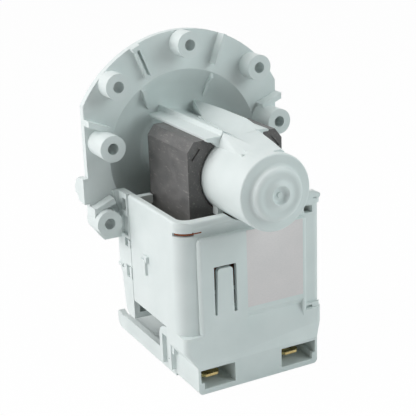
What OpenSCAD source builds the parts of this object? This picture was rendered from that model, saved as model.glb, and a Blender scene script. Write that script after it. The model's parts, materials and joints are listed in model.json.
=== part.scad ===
// Drain pump of a dishwasher with a permanent-magnet synchronous motor.
// Y is the axis of the rotor and points from the closed end of its can to the impeller, and Z is up.
// The origin is where that axis meets the sealing face of the flange. Lengths are in millimetres.

/* [Flange] */
// Radius of the flange
flange_r = 39.6; // [38:0.1:43]
// Half the width between the side flats of the flange
flat_x = 34.7; // [34:0.1:37]
// Height where the side flats end, above the lower screw bosses
flat_end_z = -14.2; // [-15:0.1:-13]
// Height of the flange's lower edge on both sides of the skirt
foot_z = -25.3; // [-27:0.1:-23]
// Thickness of the flange plate
plate_t = 2.6; // [2:0.1:3.5]
// Height of the radial ribs above the sealing face
rib_h = 6.6; // [5:0.1:8.5]
// Thickness of a radial rib
rib_t = 1.6; // [1:0.1:2.4]

/* [Screw bosses] */
// Radius of a screw boss
boss_r = 4.2; // [3.4:0.1:4.8]
// Radius of a screw hole
screw_r = 1.8; // [1.4:0.05:2.2]
// Height of the short bosses above the sealing face
boss_h = 9.1; // [7.5:0.1:11]
// Height of the two long bosses above the sealing face
long_boss_h = 13.2; // [10:0.1:16]
// Height of the top boss over the rotor axis
top_boss_z = 35.4; // [34.5:0.1:37]
// Half the distance between the upper bosses
upper_boss_x = 25; // [23:0.1:27]
// Height of the upper bosses over the rotor axis
upper_boss_z = 25.2; // [24:0.1:27]
// Half the distance between the long bosses
long_boss_x = 29.8; // [29:0.1:32]
// Height of the long bosses over the rotor axis
long_boss_z = 7.3; // [5:0.1:9]
// Half the distance between the lower bosses
lower_boss_x = 30.8; // [29.5:0.1:32]
// Height of the lower bosses, below the rotor axis
lower_boss_z = -17.9; // [-19:0.1:-16]

/* [Well and spigot] */
// Radius of the dished well at the flange plate
well_r = 26.8; // [26:0.1:28]
// Radius of the well's flat floor
well_floor_r = 19.5; // [18:0.1:21]
// Distance from the sealing face forward to the rear face of the floor
well_floor_y = 5; // [4:0.1:6]
// Thickness of the floor
floor_t = 2.2; // [1.8:0.1:3]
// Radius of the locating spigot
spigot_r = 25.5; // [24.9:0.1:26]
// Length of the locating spigot
spigot_len = 8; // [7.5:0.1:10]
// Wall of the spigot at its front end
spigot_wall = 2.2; // [1.6:0.1:3]
// Section of the sealing ring in the front groove of the spigot
seal_d = 3; // [2.2:0.1:3.4]
// Depth of the groove for the sealing ring
groove_d = 1.4; // [1:0.1:2]

/* [Rotor can] */
// Radius of the can at its closed end
can_r = 11.6; // [11.4:0.05:12]
// Radius of the can at the floor of the well
can_root_r = 12; // [11.6:0.05:12.2]
// Radius inside the can
can_bore_r = 10.1; // [9.9:0.05:10.4]
// Distance from the sealing face back to the ring face of the closed end
can_len = 59.3; // [59:0.1:64]
// Radius of the domed cap on the closed end
dome_r = 8; // [7.4:0.1:8.6]
// Height of the domed cap
dome_h = 3; // [2.4:0.1:3.6]
// Radius of the dimple in the domed cap
dimple_r = 2.8; // [2.2:0.1:3.4]
// Depth of the dimple
dimple_d = 1.3; // [0.8:0.1:1.4]

/* [Stator core] */
// Half the width of the core
core_x = 16.2; // [15.8:0.1:17]
// Height of the core's top over the rotor axis
core_top = 12.1; // [11.8:0.1:13]
// Depth of the stack of laminations
core_depth = 27.45; // [25:0.05:29]
// Distance from the sealing face back to the core
core_front = 9; // [8.5:0.1:10.5]
// Half the gap between the legs
leg_gap = 7; // [6:0.1:7.5]
// Clearance between the pole arcs and the can
pole_gap = 0.3; // [0.2:0.05:0.5]
// Height of the yoke that joins the legs
yoke_h = 8.4; // [7.5:0.1:9.5]
// Chamfer on the core's upper corners, across and down
core_chamfer = [2.3, 3];

/* [Core arms] */
// Distance from the rotor axis to the arm's outer edge
arm_out = 10.5; // [9.5:0.1:11.5]
// Distance from the rotor axis to the edge of the raised strip
arm_step = 7.7; // [7:0.1:8.5]
// Thickness of the arm's ledge
arm_t = 1.2; // [0.9:0.05:1.6]
// Height of the raised strip above the ledge
strip_h = 0.6; // [0.3:0.05:1]
// Length of the hook that grips behind the core
hook_t = 1.6; // [1.2:0.1:2.2]
// Clearance between the arm and the core
arm_gap = 0.1; // [0.05:0.05:0.2]

/* [Coils] */
// Clearance between a leg and its bobbin
bobbin_gap = 0.15; // [0.1:0.05:0.3]
// Wall of a bobbin
bobbin_t = 1.1; // [0.8:0.1:1.4]
// Build-up of the winding around its bobbin
coil_build = 3.9; // [3.2:0.1:4.2]
// Height of the upper end of the bobbins, below the rotor axis
bobbin_top = -14.6; // [-16:0.1:-13.8]

/* [Coil case] */
// Half the width of the coil case
case_x = 24.6; // [24.2:0.1:25.6]
// Height of the case's rim, below the rotor axis
case_top = -9; // [-10:0.1:-8.4]
// Height of the case's underside, below the rotor axis
case_foot = -45.2; // [-47:0.1:-44.6]
// Distance from the sealing face back to the front of the case
case_front = 10; // [9.6:0.1:11.5]
// Distance from the sealing face back to the rear wall
case_back = 45; // [44.6:0.1:48]
// Wall of the case
case_t = 2; // [1.5:0.1:2.2]
// Radius of the rear corners
case_round = 3; // [2:0.1:4]

/* [Label] */
// Width of the label
label_w = 19.9; // [15:0.1:22]
// Height of the label
label_h = 24.8; // [18:0.1:26]
// Distance from the rotor axis to the label's left edge
label_x = -2.7; // [-4:0.1:-1]
// Thickness of the label
label_t = 0.12; // [0.08:0.02:0.3]

/* [Skirt] */
// Height of the skirt's underside, below the rotor axis
skirt_foot = -52; // [-54:0.1:-50]
// Wall of the skirt
skirt_t = 2; // [1.5:0.1:2.4]
// Radius of the web between flange and skirt
arch_r = 4; // [2:0.1:6]

/* [Back plate] */
// Thickness of the base's back plate, which lies on the rear wall of the case
panel_t = 1.5; // [1:0.1:2]
// Half the width of the back plate
panel_x = 18.9; // [18:0.1:19.6]
// Height of the back plate's upper edge, below the rotor axis
panel_top = -14.3; // [-15:0.1:-13.9]
// Width of the snap tongue in the back plate
tongue_w = 4.4; // [3.5:0.1:6]
// Distance from the rotor axis to the middle of the snap tongue
tongue_x = -9.4; // [-12:0.1:-7]
// Width of the slot around the snap tongue
slot_w = 1.5; // [1:0.1:1.8]
// Height of the slot's upper edge, below the rotor axis
slot_top = -24.4; // [-26:0.1:-22]
// Height of the slot's lower end, below the rotor axis
slot_foot = -39.5; // [-41:0.1:-37]

/* [Terminal base] */
// Half the width of the terminal block
block_x = 21.25; // [21:0.05:23]
// Height of the base's underside, below the rotor axis
base_foot = -63.6; // [-66:0.1:-63]
// Height of the block's upper edge, below the rotor axis
block_top = -54.6; // [-55:0.1:-54]
// Distance from the sealing face back to the block's rear face
block_back = 48; // [46.5:0.1:50]
// Depth of the block
block_depth = 16; // [15:0.1:18]
// Height of the plinth's lower edge, below the rotor axis
plinth_foot = -50.5; // [-51.5:0.1:-49]
// Height of the lip that the plinth raises behind the case
lip_h = 1.7; // [1:0.1:3]
// Thickness of that lip
lip_t = 0.9; // [0.6:0.1:1.3]
// Height of the side rails' upper edge, below the rotor axis
rail_top = -58; // [-59:0.1:-57]
// Thickness of a side rail
rail_t = 2.5; // [2:0.1:3.5]
// Distance that the rails reach forward of the sealing face
rail_front = 13.1; // [8:0.1:18]
// Thickness of the floor between the rails
base_floor_t = 1.6; // [1.2:0.1:2.2]

/* [Terminals] */
// Width of a tab
tab_w = 6.3; // [4.8:0.1:6.3]
// Thickness of a tab
tab_t = 0.8; // [0.5:0.1:0.8]
// Height of the tabs, below the rotor axis
tab_z = -58.5; // [-59:0.1:-58]
// Distance from the rotor axis to the outer edge of the left tab
tab_left = 19.1; // [18.5:0.1:19.5]
// Distance from the rotor axis to the inner edge of the right tab
tab_right = 9.3; // [9:0.1:10]
// Depth of a socket
socket_depth = 12; // [10:0.1:13]
// Half the height of a socket
socket_h = 3.15; // [3:0.05:3.4]
// Inner and outer edges of the left socket, from the rotor axis
socket_left = [8.6, 20.4];
// Inner and outer edges of the right socket, from the rotor axis
socket_right = [8, 20.5];

/* [Rotor] */
// Radius of the shaft
shaft_r = 2; // [1.5:0.05:2.5]
// Radius of the ring magnet
magnet_r = 9.5; // [8.8:0.05:9.6]
// Length of the ring magnet
magnet_len = 28; // [24:0.1:29]
// Radius inside the ring magnet
magnet_bore_r = 5.5; // [4.5:0.1:7]
// Radius of the carrier's end flanges
carrier_r = 9.2; // [8.4:0.1:9.4]
// Thickness of the carrier's end flanges
carrier_t = 2; // [1.6:0.1:2.4]
// Radius of the dog's hub on the shaft
dog_hub_r = 3.9; // [3.4:0.1:4.2]
// Outer radius of the dog and of the claw that drives it
dog_r = 8.4; // [7:0.1:8.6]
// Length of the dog along the shaft
dog_len = 6.5; // [5:0.1:8]
// Half the angle of the dog
dog_half = 20; // [14:1:30]
// Half the angle of the claw
claw_half = 34; // [20:1:45]
// Thickness of the rubber pads on the dog
pad_t = 0.8; // [0.5:0.1:1.4]

/* [Bearings] */
// Radial running clearance of the shaft in its bushes
run_gap = 0.04; // [0.02:0.01:0.1]
// Radius of a bush
bush_r = 4.2; // [3.8:0.1:4.6]
// Length of a bush
bush_len = 6; // [5:0.1:7]
// Wall of the rubber rings around the bushes
damper_t = 1.8; // [1.2:0.1:2.2]
// Thickness of a thrust washer
washer_t = 0.8; // [0.5:0.1:1]
// Radius of a thrust washer
washer_r = 4.4; // [3.6:0.1:5]
// Clearance on each side of the thrust washers
end_play = 0.2; // [0.1:0.05:0.3]
// Radius of the bearing plate
plate_r = 15.5; // [13.5:0.1:18]
// Thickness of the bearing plate
bearing_plate_t = 2; // [1.6:0.1:2.6]
// Clearance of the bearing plate in the can
plug_gap = 0.05; // [0.03:0.01:0.15]

/* [Impeller] */
// Radius of the impeller
impeller_r = 19.5; // [16:0.1:21]
// Height of the vanes
vane_h = 10.5; // [7:0.1:13]
// Thickness of a vane
vane_t = 1.6; // [1.2:0.1:2.4]
// Number of vanes
vane_n = 6; // [4:1:8]
// Radius of the impeller's hub
hub_r = 5.6; // [4.8:0.1:7]
// Length of the impeller's hub
hub_len = 14; // [11:0.1:17]
// Radius of the disc behind the vanes
disc_r = 11.5; // [9:0.1:15]
// Gap between the bearing plate and the impeller
impeller_gap = 0.8; // [0.5:0.1:1.5]

/* [Hidden] */
$fn = 64;

// Overlap that lets two touching shapes of one moulding join
bond = 0.4;
// Clearance between parts that lie against each other
seat = 0.1;

// Places along the rotor axis, from the core outward to both bearings
core_y = [-core_front - core_depth, -core_front];
magnet_mid = (core_y[0] + core_y[1]) / 2;
magnet_y = [magnet_mid - magnet_len / 2, magnet_mid + magnet_len / 2];
carrier_y = [magnet_y[0] - carrier_t, magnet_y[1] + carrier_t];
front_washer_y = carrier_y[1] + end_play;
front_bush_y = front_washer_y + washer_t + end_play;
floor_y = well_floor_y + floor_t;
plate_y = floor_y + bearing_plate_t;
groove_r = spigot_r - spigot_wall;
can_end_t = 1.6;
rear_pocket_y = -can_len - dome_h + dimple_d + can_end_t;
cup_t = 1.4;
rear_bush_y = rear_pocket_y + cup_t;
rear_washer_y = rear_bush_y + bush_len + end_play;
dog_hub_y = [rear_washer_y + washer_t, carrier_y[0] - end_play];
dog_y = [carrier_y[0] - end_play - dog_len, carrier_y[0] - end_play];
damper_r = bush_r + damper_t;
impeller_y = plate_y + impeller_gap;
shaft_y = [rear_bush_y + 0.4, impeller_y + hub_len - 3];

// Places of the coils and of the box around them
pole_r = can_root_r + pole_gap;
case_floor = case_foot + case_t;
core_foot = case_floor + seat;
yoke_top = core_foot + yoke_h;
bobbin_foot = yoke_top + bobbin_gap;
former_x = [leg_gap - bobbin_gap - bobbin_t, core_x + bobbin_gap + bobbin_t];
former_y = [core_y[0] - bobbin_gap - bobbin_t, core_y[1] + bobbin_gap + bobbin_t];
coil_z = [bobbin_foot + bobbin_t, bobbin_top - bobbin_t];
tab_x = [-tab_left, tab_right];
// Heights of the snaps that hold the coil case in the skirt
snap_z = [-26, -36.5];
snap_h = 2.4;
panel_y = -case_back - panel_t;
slot_x = [tongue_x - tongue_w / 2, tongue_x + tongue_w / 2];

// Points on an arc around c, from angle a0 to a1
function arc(c, r, a0, a1, n = 8) =
    [for (i = [0:n]) c + r * [cos(a0 + (a1 - a0) * i / n), sin(a0 + (a1 - a0) * i / n)]];

// Body of revolution around the rotor axis, from a profile of [radius, y]
module turned(profile, angle = 360) {
    rotate([-90, 0, 0])
        rotate_extrude(angle = angle)
            polygon(profile);
}

// Hollow cylinder on the rotor axis between y[0] and y[1]
module sleeve(y, r_out, r_in) {
    turned([[r_in, y[0]], [r_out, y[0]], [r_out, y[1]], [r_in, y[1]]]);
}

// Sector of a ring on the rotor axis, turned so that its middle points up
module sector(y, r_out, r_in, half) {
    rotate([0, -90 - half, 0])
        turned([[r_in, y[0]], [r_out, y[0]], [r_out, y[1]], [r_in, y[1]]], 2 * half);
}

// Extrudes an outline seen from the rear, from y[0] to y[1]
module along_y(y) {
    translate([0, y[1], 0])
        rotate([90, 0, 0])
            linear_extrude(y[1] - y[0])
                children();
}

// Extrudes an outline seen from the right, drawn as [y, z], from x[0] to x[1]
module along_x(x) {
    translate([x[0], 0, 0])
        rotate([90, 0, 90])
            linear_extrude(x[1] - x[0])
                children();
}

// Extrudes an outline seen from above, from z[0] to z[1]
module along_z(z) {
    translate([0, 0, z[0]])
        linear_extrude(z[1] - z[0])
            children();
}

// Rectangle between two ranges
module area(u, v) {
    translate([u[0], v[0]])
        square([u[1] - u[0], v[1] - v[0]]);
}

// Rectangle between two ranges with its corners rounded
module round_area(u, v, r) {
    area([u[0] + r, u[1] - r], v);
    area(u, [v[0] + r, v[1] - r]);
    for (x = [u[0] + r, u[1] - r], y = [v[0] + r, v[1] - r])
        translate([x, y])
            circle(r);
}

// Block between three ranges
module block(x, y, z) {
    translate([x[0], y[0], z[0]])
        cube([x[1] - x[0], y[1] - y[0], z[1] - z[0]]);
}

// Cylinder along the rotor's direction at [x, z]
module rod(p, y, r) {
    translate([p[0], y[1], p[1]])
        rotate([90, 0, 0])
            cylinder(h = y[1] - y[0], r = r);
}

// Both sides of a shape
module both_sides() {
    children();
    mirror([1, 0, 0])
        children();
}

// Places of the screw bosses as [x, z, height]
bosses = [
    [0, top_boss_z, boss_h],
    [-upper_boss_x, upper_boss_z, boss_h],
    [upper_boss_x, upper_boss_z, boss_h],
    [-long_boss_x, long_boss_z, long_boss_h],
    [long_boss_x, long_boss_z, long_boss_h],
    [-lower_boss_x, lower_boss_z, boss_h],
    [lower_boss_x, lower_boss_z, boss_h]
];

module flange_plate() {
    along_y([-plate_t, 0])
        difference() {
            intersection() {
                circle(flange_r);
                union() {
                    area([-flat_x, flat_x], [flat_end_z, flange_r]);
                    area([-flange_r, flange_r], [foot_z, flat_end_z + bond]);
                }
            }
            circle(well_r);
        }
}

// Bar on the rear face of the flange at an angle from the right-hand side, between two radii
module radial_bar(angle, r, h, t) {
    rotate([0, -angle, 0])
        block([r[0], r[1]], [-h, -plate_t + bond], [-t / 2, t / 2]);
}

module flange_ribs() {
    rim = flange_r - 0.2;
    intersection() {
        union() {
            for (a = [23, 157])
                radial_bar(a, [well_r + 1.2, rim], rib_h, rib_t);
            for (a = [-20, -160])
                radial_bar(a, [well_r + 1.2, rim], rib_h - 1, 2 * rib_t);
            for (a = [111, 115])
                radial_bar(a, [well_r + 1.6, rim], rib_h, rib_t * 0.7);
            radial_bar(67.5, [well_r + 1.6, rim], rib_h, 2 * rib_t);
        }
        along_y([-rib_h, 0])
            intersection() {
                circle(flange_r);
                area([-flat_x, flat_x], [-flange_r, flange_r]);
            }
    }
    // Head that joins the two close ribs at the rim
    rotate([0, 90 - 113, 0])
        block([-2.6, 2.6], [-rib_h, -plate_t + bond], [rim - 2.2, rim - 0.4]);
    // Gussets that stiffen the slope of the well
    for (a = [25, 72, 126, 155])
        rotate([0, -a, 0])
            rotate([0, 0, 0])
                along_z([-0.9, 0.9])
                    polygon([
                        [well_floor_r - 1, well_floor_y + bond],
                        [well_floor_r - 1, 0.6],
                        [well_r + 0.6, -plate_t - 0.3],
                        [well_r + 0.6, -plate_t + bond]
                    ]);
}

// Dished well, spigot and rotor can in one profile
module well_and_can() {
    edge = 0.6;
    end_y = -can_len;
    cap_y = end_y - dome_h;
    turned(concat(
        [
            [well_r + 1.5, 0],
            [well_r + 1.5, -plate_t],
            [well_r, -plate_t]
        ],
        [[well_floor_r, well_floor_y]],
        arc([can_root_r + 1.2, well_floor_y - 1.2], 1.2, 90, 180, 4),
        arc([can_r - edge, end_y + edge], edge, 0, -90, 4),
        [[dome_r, end_y], [dome_r - 0.3, end_y - 0.5 * dome_h + 0.6]],
        arc([dome_r - 1.1, end_y - 0.5 * dome_h + 0.6], 0.8, 0, -80, 4),
        [[dome_r - 2, end_y - 0.5 * dome_h - 0.4], [dimple_r + 0.5, cap_y + 0.06], [dimple_r + 0.1, cap_y]],
        [[dimple_r, cap_y + 0.2], [dimple_r - 0.3, cap_y + dimple_d]],
        [[0.9, cap_y + dimple_d], [0.7, cap_y + dimple_d - 0.5], [0, cap_y + dimple_d - 0.5]],
        [[0, rear_pocket_y], [damper_r, rear_pocket_y]],
        [[damper_r, rear_bush_y + bush_len - 0.6], [damper_r + 1.6, rear_bush_y + bush_len - 0.6]],
        [[damper_r + 1.6, -can_len + 1.8], [can_bore_r, -can_len + 1.8]],
        [[can_bore_r, floor_y], [groove_r - seal_d - seat, floor_y]],
        [[groove_r - seal_d - seat, floor_y - groove_d], [groove_r, floor_y - groove_d]],
        [[groove_r, spigot_len], [spigot_r - 0.6, spigot_len]],
        [[spigot_r, spigot_len - 0.6], [spigot_r, 0]]
    ));
}

// Outline of one arm over the core, seen from the rear, on the right-hand side
module arm_outline() {
    under = core_top + arm_gap;
    polygon([
        [arm_out, under],
        [arm_out, under + arm_t - 0.3],
        [arm_out - 0.3, under + arm_t],
        [arm_step + 0.2, under + arm_t],
        [arm_step, under + arm_t + strip_h],
        [arm_step - 2.9, under + arm_t + strip_h],
        [3.4, 12.2],
        [2.4, 11],
        [5.8, 9],
        [5.8, under]
    ]);
}

module core_arm() {
    back = core_y[0] - arm_gap;
    along_y([back - hook_t, well_floor_y + bond])
        arm_outline();
    along_y([back - hook_t, back])
        polygon([
            [arm_out, core_top + 0.3],
            [arm_out, core_top - 1],
            [arm_out - 1, core_top - 1.6],
            [6.4, core_top - 1.6],
            [5.8, 9],
            [4, core_top]
        ]);
}

// Raised runner that blends the right arm into the top of the can
module arm_fairing() {
    front = core_y[0] - arm_gap - 0.2;
    rear = -can_len + 7.3;
    hull() {
        along_y([front, front + 0.2])
            polygon([[-1.2, 11], [0.6, 12.3], [4.6, 14], [arm_step, 14], [arm_out, 13], [arm_out, 11], [7.4, 8]]);
        along_y([rear, rear + 0.2])
            polygon([[-4.4, 10.6], [-1, 11.75], [2.4, 11.75], [5.8, 10.3], [5.4, 9]]);
    }
    hull() {
        along_y([front, front + 0.2])
            polygon([[-1.2, 11], [0.6, 12.3], [4.6, 14], [6.8, 14], [6.8, 10.4], [4, 9]]);
        along_y([-10, -9.8])
            polygon([[3.9, 11], [4.2, 12.1], [5, 14], [6.8, 14], [6.8, 10.6], [5.8, 9.6]]);
    }
}

// Side view of the skirt that closes the front of the coil case, as [y, z]
module skirt_outline() {
    polygon(concat(
        [[-case_front, case_top], [-plate_t - arch_r, case_top]],
        arc([-plate_t - arch_r, case_top + arch_r], arch_r, -90, 0),
        [[0, case_top + arch_r], [0, -36], [-1.5, -38], [-3, -48]],
        arc([-6.2, skirt_foot + 3.2], 3.2, 0, -90, 4),
        [[-case_front, skirt_foot]]
    ));
}

module skirt() {
    difference() {
        along_x([-case_x, case_x])
            skirt_outline();
        // Room for the front of the coils
        along_x([-case_x + skirt_t, case_x - skirt_t])
            polygon([
                [-case_front - 1, case_top + arch_r + 1],
                [-plate_t, case_top + arch_r + 1],
                [-plate_t, -35],
                [-plate_t - 1.6, -38],
                [-plate_t - 2.8, -47.6],
                [-plate_t - 4, skirt_foot + skirt_t],
                [-case_front - 1, skirt_foot + skirt_t]
            ]);
        // Dish of the well
        turned([[0, -plate_t - 0.02], [well_r, -plate_t - 0.02], [well_r, 1], [0, 1]]);
        // Windows for the snaps of the coil case
        both_sides()
            for (z = snap_z)
                block([case_x - skirt_t - 1, case_x + 1], [-case_front - 1, -case_front + 4.6],
                      [z - snap_h / 2 - seat, z + snap_h / 2 + seat]);
        // Slot under the web
        both_sides()
            block([case_x - skirt_t - 1, case_x + 1], [-9.2, -6.8], [case_top - 5.2, case_top - 1.2]);
        // Groove down the side
        both_sides()
            block([case_x - 0.6, case_x + 1], [-7.6, -6.2], [case_top - 13, case_top - 7.4]);
    }
    // Stops for the pump chamber's latches
    both_sides() {
        along_y([-3.6, 0])
            polygon([[case_x - bond, -33.6], [case_x + 0.6, -34.2], [case_x + 1.2, -35.4],
                     [case_x + 1.2, -36.4], [case_x - bond, -37.2]]);
        along_y([-6, -3.4])
            polygon([[case_x - bond, -46.4], [case_x + 0.8, -47.2], [case_x + 0.8, -48.4], [case_x - bond, -49.4]]);
    }
}

// Hook on the flange's left side that hangs the pump in before it is screwed down
module front_lug() {
    side = -flat_x;
    along_x([side - 1.7, side - 0.05])
        polygon([
            [-plate_t, -5],
            [1.5, -5],
            [3.4, -6.2],
            [5, -8.4],
            [5, -11],
            [3.6, -11],
            [2.2, -13],
            [-plate_t, -13.4]
        ]);
    block([side - 1.6, side + bond], [-plate_t, 0], [-13.4, -5]);
}

module pump_housing() {
    color("gainsboro")
        difference() {
            union() {
                flange_plate();
                well_and_can();
                flange_ribs();
                for (b = bosses)
                    rod([b[0], b[1]], [-b[2], 0], boss_r);
                skirt();
                both_sides()
                    core_arm();
                arm_fairing();
                front_lug();
            }
            for (b = bosses)
                rod([b[0], b[1]], [-b[2] - 1, 1], screw_r);
        }
}

module flange_seal() {
    color("dimgray")
        rotate([-90, 0, 0])
            rotate_extrude()
                translate([groove_r - seal_d / 2 - seat / 2, floor_y - groove_d + seal_d / 2])
                    circle(seal_d / 2);
}

module core_outline() {
    difference() {
        polygon([
            [-core_x, core_foot],
            [core_x, core_foot],
            [core_x, core_top - core_chamfer[1]],
            [core_x - core_chamfer[0], core_top],
            [-core_x + core_chamfer[0], core_top],
            [-core_x, core_top - core_chamfer[1]]
        ]);
        circle(pole_r);
        area([-leg_gap, leg_gap], [yoke_top, core_top + 1]);
    }
}

module stator_core() {
    color("dimgray")
        difference() {
            along_y(core_y)
                core_outline();
            // Staking marks on the rear of the stack
            for (s = [-1, 1])
                translate([s * 13.6, core_y[0], 8.2])
                    rotate([0, -s * 40, 0])
                        cube([0.9, 1.2, 4.2], center = true);
        }
}

module bobbin(side) {
    x = side < 0 ? [-former_x[1], -former_x[0]] : former_x;
    leg_x = side < 0 ? [-core_x - bobbin_gap, -leg_gap + bobbin_gap] : [leg_gap - bobbin_gap, core_x + bobbin_gap];
    flange = coil_build + 0.3;
    color("whitesmoke")
        difference() {
            union() {
                block(x, former_y, [bobbin_foot, bobbin_top]);
                for (z = [bobbin_foot, bobbin_top - bobbin_t])
                    along_z([z, z + bobbin_t])
                        round_area([x[0] - flange, x[1] + flange], [former_y[0] - flange, former_y[1] + flange], 2.5);
            }
            block(leg_x, [core_y[0] - bobbin_gap, core_y[1] + bobbin_gap], [bobbin_foot - 1, bobbin_top + 1]);
        }
}

module winding(side) {
    x = side < 0 ? [-former_x[1], -former_x[0]] : former_x;
    color("peru")
        along_z(coil_z)
            difference() {
                round_area([x[0] - coil_build, x[1] + coil_build],
                           [former_y[0] - coil_build, former_y[1] + coil_build], coil_build);
                area(x, former_y);
            }
}

module coil_case() {
    rear = -case_back;
    inner_y = rear + case_t;
    color("whitesmoke")
        difference() {
            union() {
                difference() {
                    // Outer form with rounded rear corners and a rounded rim
                    intersection() {
                        along_z([case_foot, case_top])
                            round_area([-case_x, case_x], [rear - 1, -case_front + case_round], case_round);
                        along_x([-case_x, case_x])
                            round_area([rear - 1, -case_front + 2], [case_foot - 2, case_top], 0.9);
                        along_y([rear - 1, -case_front])
                            round_area([-case_x, case_x], [case_foot - 2, case_top], 0.9);
                    }
                    // Rear wall set back under the rim
                    block([-case_x - 1, case_x + 1], [rear - 2, rear], [case_foot - 1, case_top - 1.7]);
                    // Room for the coils
                    along_z([case_floor, case_top + 1])
                        round_area([-case_x + case_t, case_x - case_t], [inner_y, -case_front + 4], case_round - 1.4);
                }
                // Ledges beside the core at the front of the rim
                both_sides()
                    block([core_x + 0.9, case_x - case_t + bond], [-case_front - 2.4, -case_front],
                          [-13.4, case_top - 0.7]);
                both_sides()
                    for (z = snap_z)
                        case_snap([z - snap_h / 2, z + snap_h / 2]);
                wire_clip();
            }
            // Saddle in the rim, under the can
            rod([0, 0], [rear - 2, inner_y + 1], can_root_r + pole_gap);
            // Cove under the rear rim
            translate([0, rear - 1.2, case_top - 3.6])
                rotate([0, 90, 0])
                    cylinder(h = 2 * panel_x + 2, r = 1.9, center = true);
            // Window behind the snap tongue
            block([slot_x[0] - slot_w, slot_x[1] + slot_w], [rear - 1, inner_y + 1], [slot_foot + 1, slot_top]);
            // Slits at the upper corners, through which the windings show
            block([-case_x - 1, -panel_x - 0.2], [rear - 2, inner_y - 0.8], [panel_top + 0.8, panel_top + 2]);
            block([panel_x + 0.1, panel_x + 2.7], [rear - 2, inner_y + 1], [panel_top + 0.6, panel_top + 2.8]);
            // Catch window in the left and the right wall, with the ramp that leads into it
            both_sides() {
                block([case_x - 1, case_x + 1], [-23.7, -19.9], [-32, -26]);
                along_z([-30, -26])
                    polygon([
                        [case_x - 1, -20],
                        [case_x + 0.1, -14.7],
                        [case_x + 1, -14.7],
                        [case_x + 1, -20]
                    ]);
            }
        }
}

// Tongue in the skirt with the snap that sits in its window, on the right-hand side
module case_snap(z) {
    inside = case_x - skirt_t - seat;
    block([inside - 1, inside], [-case_front - 2, -case_front + 4.4], z);
    block([inside - 1, case_x - 1], [-case_front - 3.4, -case_front - 1], z);
    along_z(z)
        polygon([
            [inside - 0.5, -case_front + seat],
            [case_x + 0.3, -case_front + seat],
            [case_x + 0.3, -case_front + 1.6],
            [inside - 0.5, -case_front + 4.4]
        ]);
}

// Clip on the right rear corner of the case that leads the supply wires
module wire_clip() {
    along_y([-case_back - 0.9, -case_back + 2.6])
        union() {
            polygon([
                [18.6, case_top - 2],
                [18.6, case_top + 1.6],
                [19.4, case_top + 2.4],
                [21, case_top + 2.3],
                [23.2, case_top + 1.3],
                [23.2, case_top + 0.2],
                [21.4, case_top + 0.2],
                [21.4, case_top - 2]
            ]);
            translate([23.1, case_top + 0.75])
                circle(0.9);
        }
}

module blank_label() {
    color("silver")
        translate([label_x, panel_y, panel_top - 0.3 - label_h])
            cube([label_w, label_t, label_h]);
}

// Plate of the base that covers the rear wall of the case
module back_plate() {
    intersection() {
        along_y([panel_y, -case_back])
            round_area([-panel_x, panel_x], [plinth_foot, panel_top], 0.8);
        along_x([-panel_x, panel_x])
            round_area([panel_y, -case_back + 2], [plinth_foot - 2, panel_top], 0.9);
        along_z([plinth_foot, panel_top])
            round_area([-panel_x, panel_x], [panel_y, -case_back + 2], 0.9);
    }
}

// Base with the terminal block, carried under the coil case
module terminal_base() {
    front = -block_back + block_depth;
    rear = -case_back - lip_t;
    color("whitesmoke")
        difference() {
            union() {
                back_plate();
                // Plinth under the case and the lip behind it
                along_z([plinth_foot, case_foot])
                    round_area([-case_x + 0.2, case_x - 0.2], [rear, front], 0.8);
                intersection() {
                    along_z([plinth_foot, case_foot + lip_h])
                        round_area([-case_x + 0.2, case_x - 0.2], [rear, front], 0.8);
                    block([-case_x, case_x], [rear, -case_back], [plinth_foot, case_foot + lip_h]);
                }
                // Shelf that slopes out to the block
                hull() {
                    block([-case_x + 0.2, case_x - 0.2], [rear, front], [plinth_foot, plinth_foot + 0.1]);
                    block([-block_x, block_x], [-block_back, front], [block_top - 0.1, block_top]);
                }
                // Terminal block
                intersection() {
                    along_y([-block_back, front])
                        round_area([-block_x, block_x], [base_foot, block_top + 3], 1.4);
                    block([-block_x, block_x], [-block_back, front], [base_foot, block_top]);
                }
                // Rails and the floor between them
                both_sides()
                    rail();
                block([-block_x + bond, block_x - bond], [front - bond, rail_front - 4],
                      [base_foot + 1.6, base_foot + 1.6 + base_floor_t]);
                both_sides()
                    latch_wall(front);
            }
            // Slot around the snap tongue
            for (x = [slot_x[0] - slot_w, slot_x[1]])
                block([x, x + slot_w], [panel_y - 1, -case_back + 1], [slot_foot, slot_top]);
            block([slot_x[0] - slot_w, slot_x[1] + slot_w], [panel_y - 1, -case_back + 1],
                  [slot_top - slot_w, slot_top]);
            // Recess of the label, and the steps below it
            block([label_x, label_x + label_w], [panel_y - 1, panel_y + label_t],
                  [panel_top - 0.3 - label_h, panel_top - 0.3]);
            block([label_x, label_x + label_w - 4], [panel_y - 1, panel_y + 0.4],
                  [panel_top - 30, panel_top - 28.2]);
            block([label_x, label_x + label_w - 2], [panel_y - 1, panel_y + 0.6],
                  [plinth_foot + 1.1, panel_top - 31.5]);
            socket(socket_left, -1);
            socket(socket_right, 1);
            // Passages for the terminals' inner legs
            for (s = [-1, 1])
                translate([(s < 0 ? -tab_left : tab_right) + tab_w / 2, 0, 0]) {
                    block([-tab_w / 2, tab_w / 2], [-block_back + socket_depth - 1, -block_back + socket_depth + 2.4],
                          [tab_z - tab_t / 2, tab_z + tab_t / 2]);
                    block([-tab_w / 4, tab_w / 4],
                          [-block_back + socket_depth + 1.6, -block_back + socket_depth + 2.4],
                          [tab_z - tab_t / 2, case_foot + 1]);
                }
            // Lightening pocket in the middle of the block, open below
            block([-6.6, 5.8], [-block_back + 2, front - 2], [base_foot - 1, block_top - 2]);
        }
}

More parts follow.
